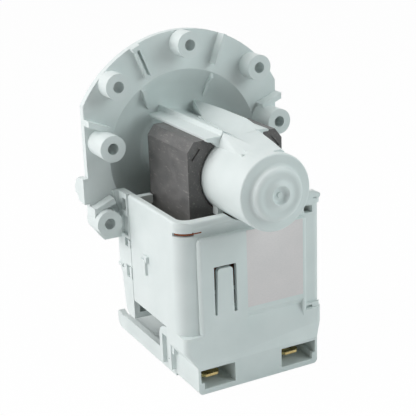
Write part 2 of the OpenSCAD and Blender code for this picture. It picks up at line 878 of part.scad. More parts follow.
// One side rail with its rounded nose, on the right-hand side
module rail() {
    top = rail_top;
    along_x([block_x - rail_t, block_x])
        polygon(concat(
            [[-block_back + block_depth - bond, base_foot]],
            arc([rail_front - 2.6, base_foot + 2.6], 2.6, -90, 0, 4),
            arc([rail_front - 1.4, top - 1.0], 1.4, 0, 100, 4),
            [[rail_front - 4.6, top - 0.6], [rail_front - 6, top], [-block_back + block_depth - bond, top]]
        ));
}

// Side wall before the block with the window of its latch, on the right-hand side
module latch_wall(front) {
    reach = front + 12;
    difference() {
        along_x([block_x - 2, block_x])
            difference() {
                polygon(concat(
                    [[front - bond, base_foot], [reach, base_foot]],
                    arc([reach - 4, plinth_foot - 4.4], 4, 0, 90, 6),
                    [[front - bond, plinth_foot - 0.4]]
                ));
                area([front + 3, front + 8.4], [base_foot + 2.4, plinth_foot - 3]);
                translate([front + 5.7, plinth_foot - 3])
                    circle(2.7);
            }
    }
    block([block_x - 1.6, block_x + 0.4], [front + 0.4, front + 4.4], [plinth_foot - 5.4, plinth_foot - 2]);
}

// Socket with a keying step at its lower outer corner
module socket(span, side) {
    x = side < 0 ? [-span[1], -span[0]] : span;
    key = side < 0 ? [x[0] - 1, x[0] + 1.1] : [x[1] - 1.1, x[1] + 1];
    z = [tab_z - 0.45 - socket_h, tab_z - 0.45 + socket_h];
    difference() {
        block(x, [-block_back - 1, -block_back + socket_depth], z);
        block(key, [-block_back - 2, -block_back + socket_depth + 1], [z[0] - 1, z[0] + 2.1]);
    }
}

// Tab with a pointed tip, its inner leg turned up into the coil case
module terminal(x) {
    tip = -block_back + 1.6;
    wall = -block_back + socket_depth;
    color("goldenrod") {
        translate([x, 0, tab_z - tab_t / 2])
            linear_extrude(tab_t)
                polygon([
                    [0, wall + 2.4],
                    [0, tip + 1.4],
                    [1.1, tip],
                    [tab_w - 1.1, tip],
                    [tab_w, tip + 1.4],
                    [tab_w, wall + 2.4]
                ]);
        block([x + tab_w / 4, x + 3 * tab_w / 4], [wall + 1.6, wall + 2.4], [tab_z, case_foot - 0.4]);
    }
}

module link_wire() {
    // Wire from coil to coil behind the upper ends of the bobbins
    y = former_y[0] - 1.6;
    color("peru")
        translate([-former_x[0] - 0.4, y, bobbin_top + 0.35])
            rotate([0, 90, 0])
                cylinder(h = 2 * former_x[0] + 0.8, r = 0.35);
}

module thermal_cutout() {
    // Flat thermal protector between the coils
    color("black")
        translate([-1.3, -30, yoke_top + 0.05])
            cube([2.6, 14, 9]);
}

module bearing_plate() {
    hub_in = bush_r + damper_t;
    back = front_bush_y - 1;
    web = [front_bush_y + bush_len, front_bush_y + bush_len + 1.4];
    plug = can_bore_r - plug_gap;
    color("white")
        turned([
            [hub_in, back],
            [hub_in + 1.3, back],
            [hub_in + 1.3, 1],
            [plug - 1.6, 1],
            [plug - 1.6, 0],
            [plug, 0],
            [plug, 2],
            [plug - 1.2, 2],
            [plug - 1.2, 4],
            [plug, 4],
            [plug, floor_y],
            [plate_r, floor_y],
            [plate_r, plate_y - 0.5],
            [plate_r - 0.5, plate_y],
            [hub_in, plate_y],
            [hub_in, web[1]],
            [shaft_r + 0.8, web[1]],
            [shaft_r + 0.8, web[0]],
            [hub_in, web[0]]
        ]);
}

module plate_seal() {
    plug = can_bore_r - plug_gap;
    color("black")
        rotate([-90, 0, 0])
            rotate_extrude()
                translate([plug - 0.6, 3])
                    circle(0.58);
}

module shaft_seal() {
    web = front_bush_y + bush_len + 1.4;
    r = bush_r + damper_t;
    color("black")
        turned([
            [shaft_r + 1.6, web],
            [r, web],
            [r, plate_y - 0.2],
            [r - 0.8, plate_y - 0.2],
            [shaft_r + 1.2, plate_y - 0.9],
            [shaft_r + run_gap, plate_y - 0.4],
            [shaft_r + run_gap, plate_y - 1],
            [shaft_r + 1, plate_y - 2]
        ]);
}

module front_bush() {
    color("dimgray")
        sleeve([front_bush_y, front_bush_y + bush_len], bush_r, shaft_r + run_gap);
}

module front_damper() {
    color("black")
        sleeve([front_bush_y + 0.3, front_bush_y + bush_len], bush_r + damper_t, bush_r);
}

module rear_bush() {
    color("dimgray")
        sleeve([rear_bush_y, rear_bush_y + bush_len], bush_r, shaft_r + run_gap);
}

module rear_damper() {
    color("black")
        turned([
            [0, rear_pocket_y],
            [damper_r, rear_pocket_y],
            [damper_r, rear_bush_y + bush_len - 0.6],
            [bush_r, rear_bush_y + bush_len - 0.6],
            [bush_r, rear_bush_y],
            [0, rear_bush_y]
        ]);
}

module rotor_shaft() {
    color("silver")
        turned([
            [0, shaft_y[0]],
            [shaft_r - 0.3, shaft_y[0]],
            [shaft_r, shaft_y[0] + 0.3],
            [shaft_r, shaft_y[1] - 0.3],
            [shaft_r - 0.3, shaft_y[1]],
            [0, shaft_y[1]]
        ]);
}

module drive_dog() {
    color("white") {
        sleeve(dog_hub_y, dog_hub_r, shaft_r);
        sector(dog_y, dog_r, dog_hub_r - bond, dog_half);
    }
}

// Angle that a pad takes up at the dog's outer radius
pad_angle = pad_t / dog_r * 180 / PI;

module dog_pads() {
    color("black")
        for (s = [-1, 1])
            rotate([0, s * (dog_half + pad_angle / 2), 0])
                sector([dog_y[0] + 0.6, dog_y[1] - 0.6], dog_r - 0.3, dog_hub_r, pad_angle / 2);
}

module thrust_washer(y) {
    color("silver")
        sleeve([y, y + washer_t], washer_r, shaft_r);
}

module rotor_magnet() {
    color("dimgray")
        sleeve(magnet_y, magnet_r, magnet_bore_r);
}

module magnet_carrier() {
    color("white") {
        sleeve(carrier_y, magnet_bore_r, shaft_r + run_gap);
        sleeve([carrier_y[0], magnet_y[0]], carrier_r, shaft_r + run_gap);
        sleeve([magnet_y[1], carrier_y[1]], carrier_r, shaft_r + run_gap);
        // Claw that reaches back beside the dog, opposite it at rest
        rotate([0, 180, 0])
            sector([dog_y[0] + 0.4, carrier_y[0] + bond], dog_r, dog_hub_r + 0.4, claw_half);
    }
}

module impeller() {
    y = impeller_y;
    vane_y = y + 1.6;
    color("white")
        difference() {
            union() {
                // Hub with a rounded nose
                turned(concat(
                    [[0, y], [hub_r, y]],
                    arc([hub_r - 1.6, y + hub_len - 1.6], 1.6, 0, 90, 4),
                    [[0, y + hub_len]]
                ));
                // Disc that carries the roots of the vanes
                turned([[0, y], [disc_r, y], [disc_r, y + 1], [disc_r - 1, y + 1.8], [0, y + 2.2]]);
                for (i = [0:vane_n - 1])
                    rotate([0, i * 360 / vane_n, 0])
                        vane(y);
            }
            // Seat on the shaft and pocket of the cap
            rod([0, 0], [y - 1, shaft_y[1] + 0.01], shaft_r);
            rod([0, 0], [shaft_y[1], y + hub_len + 1], 3);
        }
}

// One straight vane with a sloping root and a rounded tip corner, standing up from the rotor axis
module vane(y) {
    along_x([-vane_t / 2, vane_t / 2])
        polygon(concat(
            [[y, 3.6], [y, disc_r - 0.5], [y + 1.2, impeller_r - 0.6], [y + 1.8, impeller_r]],
            arc([y + vane_h - 1.6, impeller_r - 1.6], 1.6, 90, 0, 4),
            [[y + vane_h, hub_r + 1.5], [y + vane_h + 1.4, hub_r - 1], [y + vane_h, 3.6]]
        ));
}

module impeller_cap() {
    y = shaft_y[1];
    front = impeller_y + hub_len;
    color("gray")
        turned(concat(
            [[0, y], [3, y], [3, front]],
            [[3.8, front], [3.8, front + 0.6]],
            arc([2.6, front + 0.6], 1.2, 0, 90, 4),
            [[0, front + 1.8]]
        ));
}

pump_housing();
flange_seal();
stator_core();
bobbin(-1);  // bobbin_left
bobbin(1);  // bobbin_right
winding(-1);  // winding_left
winding(1);  // winding_right
link_wire();
thermal_cutout();
coil_case();
blank_label();
terminal_base();
terminal(-tab_left);  // terminal_left
terminal(tab_right);  // terminal_right
bearing_plate();
plate_seal();
shaft_seal();
front_bush();
front_damper();
rear_bush();
rear_damper();
rotor_shaft();
drive_dog();
dog_pads();
thrust_washer(front_washer_y);  // front_washer
thrust_washer(rear_washer_y);  // rear_washer
rotor_magnet();
magnet_carrier();
impeller();
impeller_cap();
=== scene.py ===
import bmesh
import bpy
import json
import math
from mathutils import Matrix, Vector

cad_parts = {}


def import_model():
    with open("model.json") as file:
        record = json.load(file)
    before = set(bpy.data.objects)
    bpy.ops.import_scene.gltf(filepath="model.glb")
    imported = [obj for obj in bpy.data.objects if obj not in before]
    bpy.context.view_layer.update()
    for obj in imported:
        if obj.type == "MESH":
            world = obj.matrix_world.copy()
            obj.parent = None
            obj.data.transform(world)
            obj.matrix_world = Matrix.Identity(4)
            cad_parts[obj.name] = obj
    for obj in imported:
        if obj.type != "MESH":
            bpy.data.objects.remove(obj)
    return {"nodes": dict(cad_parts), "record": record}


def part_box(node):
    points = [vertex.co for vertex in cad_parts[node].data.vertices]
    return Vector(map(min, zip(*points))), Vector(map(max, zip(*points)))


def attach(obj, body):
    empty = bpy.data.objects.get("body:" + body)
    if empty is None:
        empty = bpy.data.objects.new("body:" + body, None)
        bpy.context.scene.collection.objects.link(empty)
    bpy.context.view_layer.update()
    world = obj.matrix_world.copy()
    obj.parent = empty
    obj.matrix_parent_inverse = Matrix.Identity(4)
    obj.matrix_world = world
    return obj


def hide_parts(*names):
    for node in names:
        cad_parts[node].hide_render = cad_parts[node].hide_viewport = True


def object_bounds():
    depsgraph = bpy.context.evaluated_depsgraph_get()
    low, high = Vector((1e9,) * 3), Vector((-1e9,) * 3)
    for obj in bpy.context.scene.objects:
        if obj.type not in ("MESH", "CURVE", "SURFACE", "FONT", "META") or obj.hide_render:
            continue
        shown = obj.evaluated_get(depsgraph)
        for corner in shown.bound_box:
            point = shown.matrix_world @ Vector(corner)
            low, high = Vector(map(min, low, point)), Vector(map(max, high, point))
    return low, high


# Dishwasher drain pump, in metres: +X right and +Y forward as seen from its rear, +Z up

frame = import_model()
cad_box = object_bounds()
scene = bpy.context.scene


# Camera at the photograph's viewing angle

camera_lens = 91.81
camera_place = Vector((-0.14906, -0.30490, 0.09168))
camera_ahead = Vector((0.43643, 0.84254, -0.31568)).normalized()
camera_up = Vector((0.17821, 0.26295, 0.94821))


def camera():
    data = bpy.data.cameras.new("camera")
    data.sensor_width = 36
    data.lens = camera_lens
    data.clip_start = 0.01
    data.clip_end = 20
    obj = bpy.data.objects.new("camera", data)
    scene.collection.objects.link(obj)
    right = camera_ahead.cross(camera_up).normalized()
    up = right.cross(camera_ahead).normalized()
    facing = Matrix((right, up, -camera_ahead)).transposed().to_4x4()
    obj.matrix_world = Matrix.Translation(camera_place) @ facing
    scene.camera = obj


camera()


# Sizes of the moulded pieces, in millimetres and degrees; what the frame has is read from it

MM = 0.001


def corners(node):
    """Lowest and highest corner of a CAD node in millimetres, to two places."""
    return [[round(v / MM, 2) for v in corner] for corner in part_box(node)]


housing_low, housing_high = corners("pump_housing")
core_low, core_high = corners("stator_core")
case_low = corners("coil_case")[0]
base_low, base_high = corners("terminal_base")
label_low, label_high = corners("blank_label")
damper_low, damper_high = corners("rear_damper")

# Edges between faces that turn by more than this are sharp
crease_angle = 32
# How far forms that are joined run into each other
bond = 0.4
# Thickness of the slices that a hull is stretched between
skin = 0.1

# Flange and the low wall along its rim
flange_r = housing_high[2]
flat_x = 34.7
foot_z = -25.3
plate_t = 2.6
rim_h = 6.4
rim_t = 1.2
rim_top = -13

# Screw bosses; those on the sides are placed by [x, z] of the right one
boss_r = 4.2
screw_r = 1.8
boss_h = 9.1
long_boss_h = 13.2
top_boss_z = 35.4
upper_boss = (25, 25.2)
long_boss = (29.8, 7.3)
lower_boss = (30.8, -17.9)

# Dished well and its two fins
well_r = 26.8
well_floor_r = 19.5
well_floor_y = 5
bowl_r = 11.5
floor_t = 2.2
right_fin_x = 11
right_fin_t = 1
left_fin_t = 1.4
left_fin_angle = 122.4

# Ribs of the flange; each starts at a distance from the well
rib_h = 6.6
rib_t = 1.9
rib_start = 3
rib_angle = 22.4
thin_rib_t = 1.1
thin_rib_start = 2.6
thin_rib_angle = 69.2

# Two close ribs and the head that joins them at the rim: span across, and inner end
twin_rib_h = plate_t + 2
twin_rib_angle = 21.75
twin_ribs = (
    ((-3, -2.3), well_r + 1.8),
    ((-1.3, -0.8), well_r + 2.2),
    ((-3.5, -0.4), flange_r - 1.4),
)

# Locating spigot and the groove of its seal
spigot_r = 25.5
spigot_len = housing_high[1]
spigot_wall = 2.2
spigot_edge = 0.6
groove_w = 3.1
groove_d = 1.4

# Rotor can, its closed end with ring and dimple, and the seat of the rear damper
can_r = 11.6
can_root_r = 12
can_bore_r = 10.1
dome_h = 3
can_len = -housing_low[1] - dome_h
can_edge = 0.6
can_fillet = 1.2
ring_r = 8
ring_edge = 1.5
dimple_r = 2.8
dimple_d = 1.3
pocket_y, seat_y = damper_low[1], damper_high[1]
damper_r = damper_high[0]

# Stator core, where the mouldings follow it
core_x = core_high[0]
core_top = core_high[2]
core_rear = core_low[1]
leg_gap = 7

# Arms over the core; arm_root is where they meet the can, as [x, z]
arm_gap = 0.1
arm_out = 10.6
arm_t = 0.6
hook_t = 1.6
ledge_front = 1.6
crest_z = 14.5
left_crest = 5.2
right_crest = 7.4
arm_root = (5.8, 9)
arm_under = core_top + arm_gap
arm_back = core_rear - arm_gap
web_z = arm_under + 0.2

# Skirt below the flange
skirt_foot = housing_low[2]
skirt_t = 2
skirt_round = 3.2
flare = 2.4

# Coil case; its right corner is sharper than the left one
case_x = 24.6
case_top = -9
case_foot = case_low[2]
case_front = 10
case_back = 45
case_t = 2
case_round = 5
corner_change = 2.4
least_corner = 0.4
case_rim_h = 1.7
case_rim_edge = 0.9
rim_step = 1.3
seam = 0.3

# Snaps between case and skirt: middle and height of each, and the gap round it
snaps = ((-25.9, 2.6), (-36, 4))
snap_gap = 0.1

# Catch on each side of the case
catch_y = (-22, -18.6)
catch_z = (-32.3, -27.4)
catch_ramp_z = (-27.9, -25.9)

# Ledges at the open front of the case, under its rim
case_ledge_z = (-12.4, case_top - 0.7)
case_ledge_w = 2.4

# Back plate with its tongue and the slot round it
panel_x = 18.9
panel_top = base_high[2]
panel_round = 1.8
tongue_x = -10.2
tongue_w = 5.1
tongue_root_w = 6.3
slot_w = 0.8
slot_span = 7.6
slot_top = -24
slot_foot = -39.5
slit_z = panel_top + 1.2
panel_y = label_low[1]
panel_t = -case_back - panel_y
panel_span = (tongue_x - slot_span / 2, tongue_x + slot_span / 2)

# Wedge below the label, placed from the plate's top
wedge_top = 26.6
wedge_deep = 28.6
wedge_foot = 32.7
wedge_d = 1.3

# Lead that shows in the corner slit: its bend and the straight lengths at its ends
lead_r = 0.35
lead_inset = 0.9
lead_start = 2
lead_end = 3

# Plinth, and the lip round the case's foot with its notch
plinth_x = case_x - 0.2
plinth_foot = -50.5
plinth_round = 2.2
lip_h = 1.7
lip_t = 0.9
notch_x = (18.3, 20.9)
notch_z = (case_foot + 0.2, case_foot + 1)

# Terminal block, its hollow and its sockets: left end, right end and side
block_x = 21.25
base_foot = base_low[2]
block_top = -54.6
block_back = -base_low[1]
block_depth = 16
block_round = 1.4
hollow_x = (-6.6, 5.8)
hollow_wall = 2
socket_z = -58.75
socket_h = 3.15
socket_depth = 12
key_w = 1.1
key_h = 2.1
sockets = ((-20.4, -8.6, -1), (8, 20.5, 1))

# Rails, latch uprights and the floor between them
rail_top = -58
rail_t = 2
rail_front = base_high[1]
rail_foot_round = 2.6
rail_tip_round = 1.4
latch_proud = 1.5
latch_depth = 7.7
base_floor_z = 1.6
base_floor_t = 1.6


# Solids, made in millimetres and scaled when they are finished

def new_object(mesh):
    obj = bpy.data.objects.new("solid", mesh)
    scene.collection.objects.link(obj)
    return obj


def solid(points, faces):
    mesh = bpy.data.meshes.new("solid")
    mesh.from_pydata(points, [], faces)
    work = bmesh.new()
    work.from_mesh(mesh)
    bmesh.ops.recalc_face_normals(work, faces=work.faces)
    work.to_mesh(mesh)
    work.free()
    return new_object(mesh)


def prism(span, points, place):
    """Straight solid over an outline; place turns [u, v] and the distance along into [x, y, z]."""
    n = len(points)
    corners = [place(u, v, w) for w in span for u, v in points]
    sides = [(i, (i + 1) % n, n + (i + 1) % n, n + i) for i in range(n)]
    return solid(corners, [tuple(range(n)), tuple(range(n, 2 * n))] + sides)


def along_x(span, points):
    """Outline seen from the right, drawn as [y, z]."""
    return prism(span, points, lambda u, v, w: (w, u, v))


def along_y(span, points):
    """Outline seen from the rear, drawn as [x, z]."""
    return prism(span, points, lambda u, v, w: (u, w, v))


def along_z(span, points):
    """Outline seen from above, drawn as [x, y]."""
    return prism(span, points, lambda u, v, w: (u, v, w))


def arc(centre, r, start, end, n=6):
    steps = [math.radians(start + (end - start) * i / n) for i in range(n + 1)]
    return [(centre[0] + r * math.cos(a), centre[1] + r * math.sin(a)) for a in steps]


def area(u, v):
    """Rectangle between two limits each way."""
    return [(u[0], v[0]), (u[1], v[0]), (u[1], v[1]), (u[0], v[1])]


def round_area(u, v, r, n=6):
    return (arc((u[0] + r, v[0] + r), r, 180, 270, n) + arc((u[1] - r, v[0] + r), r, 270, 360, n)
            + arc((u[1] - r, v[1] - r), r, 0, 90, n) + arc((u[0] + r, v[1] - r), r, 90, 180, n))


def block(x, y, z):
    return along_z(z, area(x, y))


def rod(place, span, r, n=48):
    """Cylinder along the rotor's direction at [x, z]."""
    return along_y(span, arc(place, r, 0, 360 - 360 / n, n - 1))


def turned(profile, n=128):
    """Body of revolution about the rotor axis, from a closed profile of [radius, y]."""
    points, rings = [], []
    for r, y in profile:
        count = n if r > 0 else 1
        angles = [2 * math.pi * i / n for i in range(count)]
        rings.append((len(points), count))
        points += [(r * math.sin(a), y, r * math.cos(a)) for a in angles]
    faces = []
    for (a, many), (b, more) in zip(rings, rings[1:] + rings[:1]):
        for i in range(n):
            j = (i + 1) % n
            corners = [a + i % many, b + i % more, b + j % more, a + j % many]
            face = [c for k, c in enumerate(corners) if c not in corners[:k]]
            if len(face) > 2:
                faces.append(face)
    return solid(points, faces)


def hull(*slices):
    work = bmesh.new()
    for points in slices:
        for p in points:
            work.verts.new(p)
    made = bmesh.ops.convex_hull(work, input=work.verts)
    inside = made["geom_interior"] + made["geom_unused"]
    loose = {item for item in inside if isinstance(item, bmesh.types.BMVert)}
    bmesh.ops.delete(work, geom=list(loose), context="VERTS")
    mesh = bpy.data.meshes.new("solid")
    work.to_mesh(mesh)
    work.free()
    return new_object(mesh)


def slice_at(y, points):
    """Thin slice across the rotor's direction, from an outline of [x, z]."""
    return [(x, y + d, z) for d in (0, skin) for x, z in points]


def combine(base, tools, operation):
    """Joins, cuts or intersects a solid with others, which are used up."""
    for tool in tools:
        step = base.modifiers.new("step", "BOOLEAN")
        step.operation = operation
        step.solver = "MANIFOLD"
        step.object = tool
    graph = bpy.context.evaluated_depsgraph_get()
    mesh = bpy.data.meshes.new_from_object(base.evaluated_get(graph))
    base.modifiers.clear()
    base.data = mesh
    for tool in tools:
        bpy.data.objects.remove(tool)
    return base


def union(base, *more):
    return combine(base, more, "UNION")


def cut(base, *tools):
    return combine(base, tools, "DIFFERENCE")


def common(base, *tools):
    return combine(base, tools, "INTERSECT")


def flip(obj):
    """Turns a solid of one side into that of the other side."""
    obj.data.transform(Matrix.Scale(-1, 4, (1, 0, 0)))
    obj.data.flip_normals()
    return obj


def mirrored(obj):
    return flip(new_object(obj.data.copy()))


def both_sides(*made):
    return list(made) + [mirrored(obj) for obj in made]


def turn(obj, angle):
    """Turns a solid about the rotor axis, from the right-hand side up."""
    obj.data.transform(Matrix.Rotation(math.radians(-angle), 4, "Y"))
    return obj


def finish_piece(obj, name, node):
    """Scales a solid to metres and lets it stand for a CAD node."""
    obj.name = obj.data.name = name
    obj.data.transform(Matrix.Scale(MM, 4))
    obj.data.shade_smooth()
    obj.data.set_sharp_from_angle(angle=math.radians(crease_angle))
    obj.modifiers.new("even_normals", "WEIGHTED_NORMAL").keep_sharp = True
    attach(obj, "pump_body")
    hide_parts(node)
    return obj


# Pump housing: flange, well, rotor can, arms and skirt

def flange_outline(inset=0):
    """Disc with a flat on each side and a straight foot."""
    r, side = flange_r - inset, flat_x - inset
    low = math.degrees(math.asin(-foot_z / r))
    flat = math.degrees(math.acos(side / r))
    return (arc((0, 0), r, -low, -flat) + arc((0, 0), r, flat, 180 - flat, 72)
            + arc((0, 0), r, 180 + flat, 180 + low))


def boss_places():
    """Centre and height of each boss: one on top and three pairs."""
    places = [(0, top_boss_z, boss_h)]
    for (x, z), h in ((upper_boss, boss_h), (long_boss, long_boss_h), (lower_boss, boss_h)):
        places += [(-x, z, h), (x, z, h)]
    return places


def radial_bar(angle, start, end, h, t):
    return turn(block((start, end), (-h, -plate_t + bond), (-t / 2, t / 2)), angle)


def flange_ribs():
    bars = [radial_bar(a, well_r + rib_start, flange_r + 1, rib_h, rib_t)
            for a in (rib_angle, 180 - rib_angle, -rib_angle, rib_angle - 180)]
    bars.append(radial_bar(thin_rib_angle, well_r + thin_rib_start, flange_r, rib_h, thin_rib_t))
    for across, start in twin_ribs:
        bar = block(across, (-twin_rib_h, -plate_t + bond), (start, flange_r))
        bars.append(turn(bar, twin_rib_angle))
    return common(union(*bars), along_y((-rib_h, 0), flange_outline()))


def rim_wall():
    """Low wall along both sides of the rim."""
    ring = cut(along_y((-rim_h, -plate_t + bond), flange_outline()),
               along_y((-rim_h - 1, 0), flange_outline(rim_t)))
    stretch = block((well_r, flange_r), (-rim_h, 0), (lower_boss[1] - 2, rim_top))
    return common(ring, union(*both_sides(stretch)))


def well_fins():
    """Upright fin in the right half of the well and a radial one in the left half."""
    buried = well_floor_y + bond
    upright = along_x((right_fin_x - right_fin_t / 2, right_fin_x + right_fin_t / 2), [
        (-2.2, 22.4), (1, 20.2), (2.1, 18.2), (3.3, 16.6), (well_floor_y, 14.2),
        (buried, 14.2), (buried, 18.5), (1.5, 22.5), (-2.2, 24.9)])
    radial = along_z((-left_fin_t / 2, left_fin_t / 2), [
        (well_r - 1.6, -plate_t + 0.1), (16.2, well_floor_y), (17.6, buried),
        (well_floor_r + 0.5, buried), (well_r - 2.4, 2), (well_r + 0.4, -plate_t + 0.3)])
    return [upright, turn(radial, left_fin_angle)]


def bowl_profile():
    """Side of the well, curved into its floor, and the floor up to the can's root."""
    slope = math.degrees(math.atan2(well_floor_y + plate_t, well_r - well_floor_r))
    bowl_x = well_floor_r - bowl_r * math.tan(math.radians(slope / 2))
    return ([(well_r + 1.5, 0), (well_r + 1.5, -plate_t), (well_r, -plate_t)]
            + arc((bowl_x, well_floor_y - bowl_r), bowl_r, 90 - slope, 90, 8)
            + arc((can_root_r + can_fillet, well_floor_y - can_fillet), can_fillet, 90, 180, 4))


def can_end_profile():
    """Closed end: flat rim, hollow fillet, raised ring, shallow dish, and dimple with a pip."""
    end, cap = -can_len, -can_len - dome_h
    pip_y = cap + dimple_d - 0.5
    return (arc((can_r - can_edge, end + can_edge), can_edge, 0, -90, 4)
            + [(ring_r + 1, end), (ring_r + 0.5, end - 0.12), (ring_r + 0.15, end - 0.4)]
            + [(ring_r, end - 0.8)]
            + arc((ring_r - ring_edge, end - 0.9), ring_edge, 0, -90, 5)
            + [(ring_r - 2, end - 2.36), (ring_r - 2.6, end - 2.16), (ring_r - 3.2, end - 2.16)]
            + [(ring_r - 4, end - 2.4), (dimple_r + 0.6, cap + 0.18), (dimple_r + 0.1, cap)]
            + [(dimple_r - 0.1, cap + 0.08), (dimple_r - 0.3, cap + 0.35), (dimple_r - 0.5, cap + 0.85)]
            + [(dimple_r - 0.8, cap + 1.15), (dimple_r - 1.2, cap + dimple_d)]
            + [(0.9, cap + dimple_d), (0.7, pip_y), (0, pip_y)])


def bore_profile():
    """Inside, from the damper's pocket through the bore to the seal groove and the spigot."""
    bore_end, pocket_r = -can_len + 1.8, damper_r + 1.6
    groove_r, floor = spigot_r - spigot_wall, well_floor_y + floor_t
    return ([(0, pocket_y), (damper_r, pocket_y), (damper_r, seat_y), (pocket_r, seat_y)]
            + [(pocket_r, bore_end), (can_bore_r, bore_end), (can_bore_r, floor)]
            + [(groove_r - groove_w, floor), (groove_r - groove_w, floor - groove_d)]
            + [(groove_r, floor - groove_d), (groove_r, spigot_len), (spigot_r - spigot_edge, spigot_len)]
            + [(spigot_r, spigot_len - spigot_edge), (spigot_r, 0)])


def well_and_can():
    return turned(bowl_profile() + can_end_profile() + bore_profile())


def ledge(inner):
    """Thin plate of an arm, which lies on the core."""
    return along_y((arm_back - hook_t, ledge_front), [
        (inner, arm_under), (arm_out, arm_under), (arm_out, arm_under + arm_t),
        (arm_out - 0.4, arm_under + arm_t + 0.15), (inner, arm_under + arm_t + 0.4)])


def left_arm():
    """Arm with a crest that slopes off toward the middle and a beak behind the core."""
    rear = arm_back - hook_t
    crest = along_y((rear, well_floor_y + bond), [
        arm_root, (arm_root[0], arm_under + 1), (left_crest + 0.3, arm_under + 1.4),
        (left_crest + 0.05, crest_z - 0.1), (left_crest - 0.2, crest_z), (left_crest - 0.6, crest_z - 0.15),
        (0.8, 12.15), (0, 11.5)])
    beak = along_y((rear, arm_back), [
        (arm_out, web_z), (arm_out - 0.2, arm_under - 0.3), (arm_out - 1.8, arm_under - 0.7),
        (6.6, 9.5), (5.6, 9.4), (4, arm_under)])
    full = [(0, 11.4), (0.8, 12.1), (left_crest - 0.3, crest_z - 0.5), (6.1, 11.8), (6.6, 9.5)]
    low = [(0.4, 11.45), (2.8, 11.1), (5, 10.4), (6.2, 9.6)]
    run_out = hull(slice_at(rear, full), slice_at(arm_back - 13, low))
    # Drawn on the right, so it changes sides
    return flip(union(ledge(5), crest, beak, run_out))


def right_arm():
    """Arm whose left side widens into a runner over the can, down to its closed end."""
    # Stations from the well to the closed end, and the crest's outline at the first four
    ends = [well_floor_y + 0.3, -12, core_rear + 9, arm_back - hook_t, -can_len + 9.3, -can_len + 2.3]
    outer = 8.8
    crests = [
        [(right_crest - 0.3, arm_under), (right_crest, crest_z - 0.1), (right_crest + 0.6, crest_z),
         (outer, arm_under)],
        [(2.4, arm_under), (5.2, 12.9), (right_crest + 1.1, crest_z - 0.1),
         (right_crest + 1.6, crest_z - 0.1), (9.9, arm_under)],
        [(1.4, arm_under), (4.6, 12.9), (right_crest + 1.4, crest_z - 0.2),
         (right_crest + 1.8, crest_z - 0.3), (9.9, arm_under)],
        [(0.4, arm_under), (2.2, 12.6), (right_crest + 0.6, 13.2), (right_crest + 1.1, 13),
         (8.9, arm_under)]]
    parts = [hull(slice_at(ends[i], crests[i]), slice_at(ends[i + 1], crests[i + 1])) for i in range(3)]
    # Web under the arm, near the well
    parts.append(along_y((-8.9, well_floor_y + bond), [
        arm_root, (right_crest - 0.3, 9.8), (right_crest - 0.3, web_z), (outer, web_z),
        (outer, arm_root[1])]))
    # Side of the arm that leans on the can, and its wall behind the core
    lean = (leg_gap - 0.2, web_z)
    parts.append(hull(
        slice_at(-8, [(2.4, 11.2), (2.4, 12.05), lean, arm_root]),
        slice_at(ends[3], [(-1.1, 11.2), (-0.9, 11.95), (2.2, 12.5), lean, arm_root])))
    parts.append(along_y((ends[3], arm_back), [
        (leg_gap - 0.4, arm_under + 0.1), (outer, arm_under + 0.1), (8, 8.6), arm_root]))
    # Runner, which narrows toward the closed end
    start = [(-1.1, 11.2), (-0.9, 11.95), (2.4, 12.6), (6.9, 13), (7.8, 12), (7.6, 8.8)]
    middle = [(-4.6, 10.4), (-4.5, 11.05), (1.9, 12.1), (5.2, 12.1), (6.2, 11), (6.3, 9.5)]
    tip = [(-2.6, 10.9), (1.2, 11.75), (3.1, 11.9), (4.4, 11.1), (4.6, 10.3)]
    parts.append(hull(slice_at(ends[3], start), slice_at(ends[4], middle)))
    parts.append(hull(slice_at(ends[4], middle), slice_at(ends[5], tip)))
    # Small pip beside the runner, and a lug between can and core
    parts.append(block((-6.2, -4.5), (ends[4] - 1.5, ends[4] - 0.4), (9.4, 10.45)))
    parts.append(block((-8.4, -6.6), (arm_back - 3, arm_back), (-10.8, -8)))
    return union(ledge(6.4), *parts)


def skirt():
    """Front wall of the coil case's room, with the windows of its snaps."""
    rear = -case_front
    room_foot = skirt_foot + skirt_t
    # The front leans back below the flange, in two slopes, and ends in a rounded edge
    outline = ([(rear + seam, case_top), (0, case_top), (0, -36), (-1.5, -38), (-3, -48)]
               + arc((-3 - skirt_round, skirt_foot + skirt_round), skirt_round, 0, -90, 4)
               + [(rear + seam, skirt_foot)])
    flares = both_sides(
        along_y((-plate_t - 1.2, -plate_t + bond), [
            (case_x - bond, case_top), (case_x + flare, case_top), (case_x + 0.2, case_top - 8),
            (case_x - bond, case_top - 8)]),
        block((case_x - bond, case_x + 0.5), (-9.5, -3.1), (case_top - 7.4, case_top)))
    room = along_x((-case_x + skirt_t, case_x - skirt_t), [
        (rear - 1, case_top + 1), (-plate_t, case_top + 1), (-plate_t, -35), (-plate_t - 1.6, -38),
        (-plate_t - 2.8, -47.6), (-plate_t - 4, room_foot), (rear - 1, room_foot)])
    behind = -plate_t - 0.02
    dish = turned([(0, behind), (well_r, behind), (well_r, 1), (0, 1)])
    wall = (case_x - skirt_t - 1, case_x + 1)
    windows = [block(wall, (rear - 1, rear + 4.6), (z - h / 2 - snap_gap, z + h / 2 + snap_gap))
               for z, h in snaps]
    # Upper window, and a shallow recess below it
    windows.append(block(wall, (-9, -6.3), (case_top - 5.9, case_top - 1.8)))
    windows.append(block((case_x - 0.9, case_x + 1), (-8.3, -3.6), (case_top - 14.5, case_top - 8)))
    body = cut(union(along_x((-case_x, case_x), outline), *flares), room, dish, *both_sides(*windows))
    stop = along_y((-3, 0), [
        (case_x - bond, -34.2), (case_x + 0.6, -34.8), (case_x + 0.6, -35.6), (case_x - bond, -36.2)])
    return union(body, *both_sides(stop))


